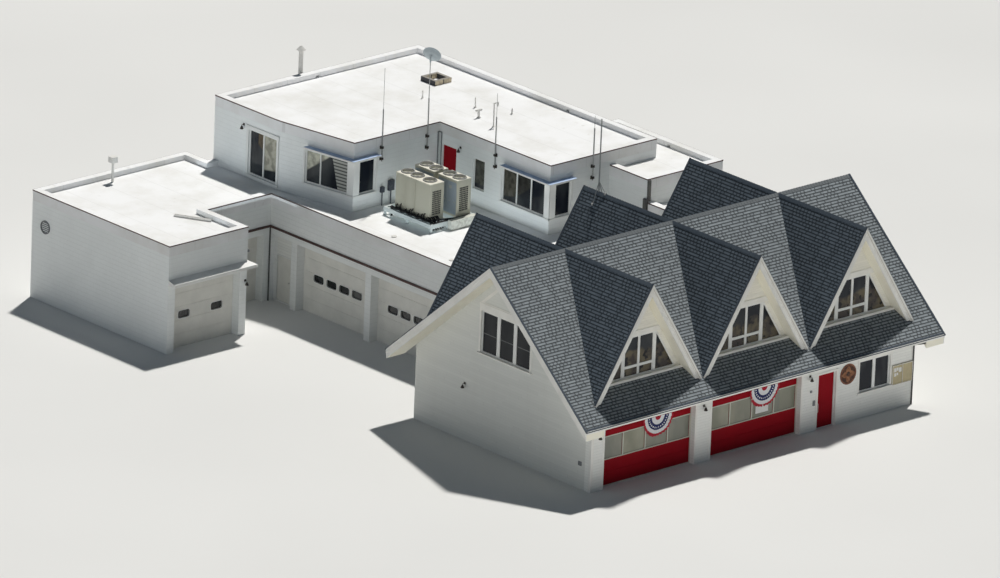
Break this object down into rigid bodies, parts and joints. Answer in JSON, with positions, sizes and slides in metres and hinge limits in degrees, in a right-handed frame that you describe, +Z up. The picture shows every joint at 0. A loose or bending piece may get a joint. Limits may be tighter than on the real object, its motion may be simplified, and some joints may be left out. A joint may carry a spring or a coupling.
{
  "type": "fire station building",
  "caption": "Fire station with a steep-roofed vehicle hall, cross gables and red doors, and a flat-roofed rear building round a courtyard side.",
  "frame": {"origin": "bottom centre of the building's overall box, at ground level", "axes": "+Z up, the hall's front with the red doors faces -Y, the courtyard side faces -X"},
  "size_m": [22.875, 33.032, 11.783],
  "materials": {
    "board_face": "pin board behind a frame",
    "bunting_cloth": "pleated cloth",
    "concrete": "plain concrete",
    "dark_metal": "dark coated metal",
    "galvanised": "weathered metal",
    "glass": "dark window glass",
    "handle_metal": "brushed pull",
    "plaque": "painted round plaque",
    "red_door": "satin painted panels",
    "roof_membrane": "white roofing membrane",
    "roof_shingle": "mineral strip shingles",
    "unit_metal": "ivory powder coat",
    "white_door": "satin painted panels",
    "white_siding": "painted board siding",
    "white_stucco": "painted smooth render",
    "white_trim": "painted timber trim",
    "window_frame": "painted window frames"
  },
  "bodies": {
    "root": {"air_unit_fans": "dark_metal", "air_unit_frame": "galvanised", "air_unit_pipes": "dark_metal", "air_units": "unit_metal", "attic_floor": "concrete", "bunting": "bunting_cloth", "canopies": "white_trim", "courtyard_door_side_walls": "white_stucco", "courtyard_header": "white_stucco", "courtyard_ledge": "dark_metal", "courtyard_piers": "white_stucco", "dish_antenna": "galvanised", "door_frames": "window_frame", "door_glass": "glass", "door_lintels": "window_frame", "dormer_walls": "white_siding", "eave_boards": "white_trim", "end_gable_walls": "white_siding", "front_garage_doors": "red_door", "front_header": "white_siding", "front_piers": "white_siding", "front_right_wall": "white_siding", "gable_left_slopes": "roof_shingle", "gable_right_slopes": "roof_shingle", "ground_floor": "concrete", "hall_back_wall": "white_siding", "low_roof": "roof_membrane", "masts": "galvanised", "notice_board": "board_face", "rain_pipes": "dark_metal", "rake_boards": "white_trim", "rear_cross_walls": "white_stucco", "rear_garage_doors": "white_door", "rear_side_walls": "white_stucco", "roof_back_slope": "roof_shingle", "roof_edge_trim": "dark_metal", "roof_front_slope": "roof_shingle", "roof_soffits": "white_trim", "roof_vents": "galvanised", "round_plaque": "plaque", "stair_block_cross_walls": "white_stucco", "stair_block_roofs": "roof_membrane", "stair_block_side_walls": "white_stucco", "terrace_door": "red_door", "upper_cross_walls": "white_stucco", "upper_roof": "roof_membrane", "upper_side_walls": "white_stucco", "upper_west_wall": "white_stucco", "wall_fittings": "galvanised", "wall_lamps": "dark_metal", "wall_trim": "white_trim", "window_frames": "window_frame", "window_glass": "glass", "window_sills": "white_trim"},
    "entry_leaf": {"entry_door": "red_door", "entry_handle": "handle_metal"},
    "courtyard_leaf": {"courtyard_door": "white_door", "courtyard_knob": "handle_metal"}
  },
  "joints": [
    {"name": "entry_door_hinge", "type": "hinge", "parent": "root", "child": "entry_leaf", "pos_m": [5.8385, -15.631, 1.25], "axis": [0, 0, 1], "range_deg": [0, 90]},
    {"name": "courtyard_door_hinge", "type": "hinge", "parent": "root", "child": "courtyard_leaf", "pos_m": [-3.0525, 9.915, 1.05], "axis": [0, 0, -1], "range_deg": [0, 90]}
  ]
}
